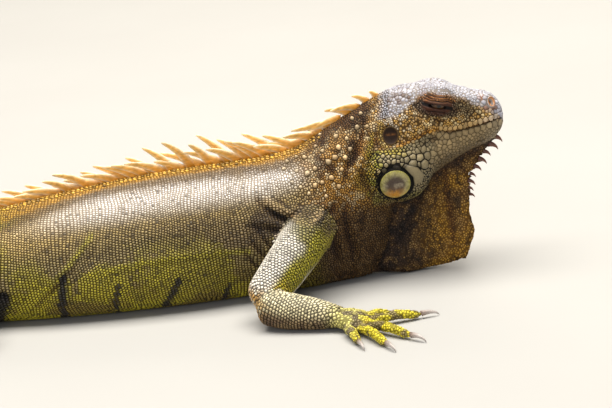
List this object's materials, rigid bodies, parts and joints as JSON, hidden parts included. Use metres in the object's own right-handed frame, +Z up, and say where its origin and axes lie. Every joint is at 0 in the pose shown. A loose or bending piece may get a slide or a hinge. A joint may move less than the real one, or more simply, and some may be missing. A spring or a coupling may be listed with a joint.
{
  "type": "iguana",
  "caption": "Life-size green iguana lying on its belly: head held up over a deep dewlap, spined back, round cheek shields, sprawled clawed legs and a long tapering tail curled to its left.",
  "frame": {"origin": "on the floor under the middle of the belly, on the belly's flat underside", "axes": "+X towards the snout, +Y to the animal's left, +Z up from the floor"},
  "size_m": [0.7679, 0.6372, 0.1322],
  "materials": {
    "head_skin": "pale horny scales, satin",
    "jaw_skin": "pale plated lips and jaw, satin",
    "neck_skin": "golden-brown granular scales with raised pale tubercles, satin",
    "body_skin": "olive-yellow small scales in rows, satin",
    "dewlap_skin": "dark golden-brown fine scales on loose skin, satin",
    "tail_skin": "olive keeled scales in rings with dark bands, satin",
    "arm_skin": "cream overlapping scales, satin",
    "hand_skin": "yellow scales with dark spots, satin",
    "leg_skin": "olive scales, satin",
    "crest": "amber horny spines with pale edges, satin",
    "cheek_shield": "one large smooth pale scale, semi-gloss",
    "eardrum": "thin dark brown drum skin, semi-gloss",
    "eyelid": "wrinkled brown-orange lid skin, satin",
    "eye": "dark wet eyeball, glossy",
    "claw": "pale grey horn, semi-gloss"
  },
  "bodies": {
    "root": {"head": "head_skin", "lower_jaw": "jaw_skin", "dewlap": "dewlap_skin", "neck": "neck_skin", "chest": "body_skin", "belly": "body_skin", "hips": "body_skin", "tail_1": "tail_skin", "tail_2": "tail_skin", "tail_3": "tail_skin", "tail_4": "tail_skin", "tail_5": "tail_skin", "cheek_shield_left": "cheek_shield", "cheek_shield_right": "cheek_shield", "claw_foot_left_1": "claw", "claw_foot_left_2": "claw", "claw_foot_left_3": "claw", "claw_foot_left_4": "claw", "claw_foot_left_5": "claw", "claw_foot_right_1": "claw", "claw_foot_right_2": "claw", "claw_foot_right_3": "claw", "claw_foot_right_4": "claw", "claw_foot_right_5": "claw", "claw_hand_left_1": "claw", "claw_hand_left_2": "claw", "claw_hand_left_3": "claw", "claw_hand_left_4": "claw", "claw_hand_left_5": "claw", "claw_hand_right_1": "claw", "claw_hand_right_2": "claw", "claw_hand_right_3": "claw", "claw_hand_right_4": "claw", "claw_hand_right_5": "claw", "eardrum_left": "eardrum", "eardrum_right": "eardrum", "eye_left": "eye", "eye_right": "eye", "eyelids_left": "eyelid", "eyelids_right": "eyelid", "foot_left": "hand_skin", "foot_right": "hand_skin", "forearm_left": "arm_skin", "forearm_right": "arm_skin", "hand_left": "hand_skin", "hand_right": "hand_skin", "shin_left": "leg_skin", "shin_right": "leg_skin", "thigh_left": "leg_skin", "thigh_right": "leg_skin", "upper_arm_left": "arm_skin", "upper_arm_right": "arm_skin"}
  },
  "joints": []
}
